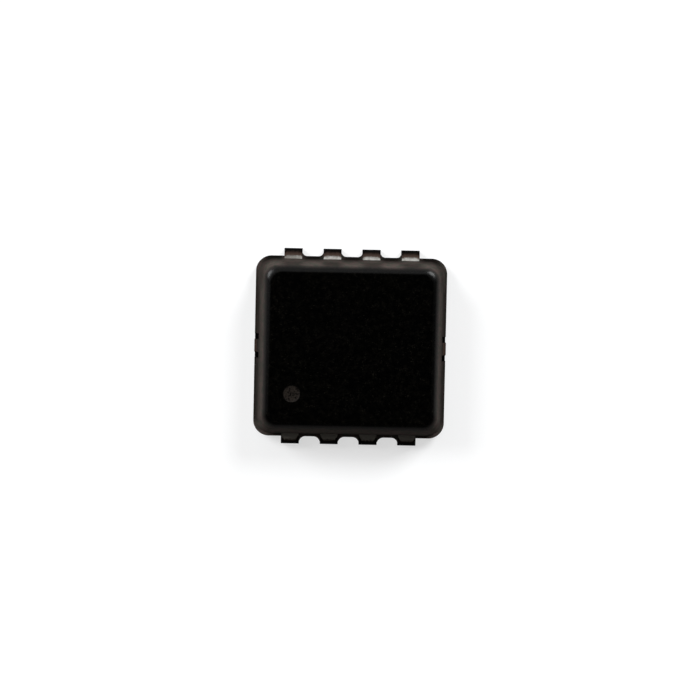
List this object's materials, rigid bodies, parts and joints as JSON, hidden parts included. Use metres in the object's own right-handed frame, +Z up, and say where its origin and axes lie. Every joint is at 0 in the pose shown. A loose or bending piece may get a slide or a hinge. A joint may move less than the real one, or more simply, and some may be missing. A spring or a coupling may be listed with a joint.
{
  "type": "mosfet",
  "caption": "Square flat-leaded surface-mount power transistor: black moulded body on a copper frame with short leads on two sides and a bare drain pad beneath.",
  "frame": {"origin": "on the board plane, under the middle of the package", "axes": "+Z up from the board through the top face, +Y towards the four drain leads, +X from lead 1 to lead 4"},
  "size_m": [0.0032, 0.0032, 0.0008],
  "materials": {
    "black_moulding": "fine satin grain of a transfer moulding, near black",
    "tinned_copper": "matte tin plate, sheared ends dark",
    "solder": "dull grey solder",
    "silicon": "polished grey silicon with bright top metal",
    "bond_copper": "bright drawn copper"
  },
  "bodies": {
    "root": {"mould_body": "black_moulding", "drain_frame": "tinned_copper", "source_frame": "tinned_copper", "gate_lead": "tinned_copper", "die_solder": "solder", "silicon_die": "silicon", "source_wire_1": "bond_copper", "source_wire_2": "bond_copper", "source_wire_3": "bond_copper", "source_wire_4": "bond_copper", "source_wire_5": "bond_copper", "source_wire_6": "bond_copper", "source_wire_7": "bond_copper", "source_wire_8": "bond_copper", "gate_wire": "bond_copper"}
  },
  "joints": []
}
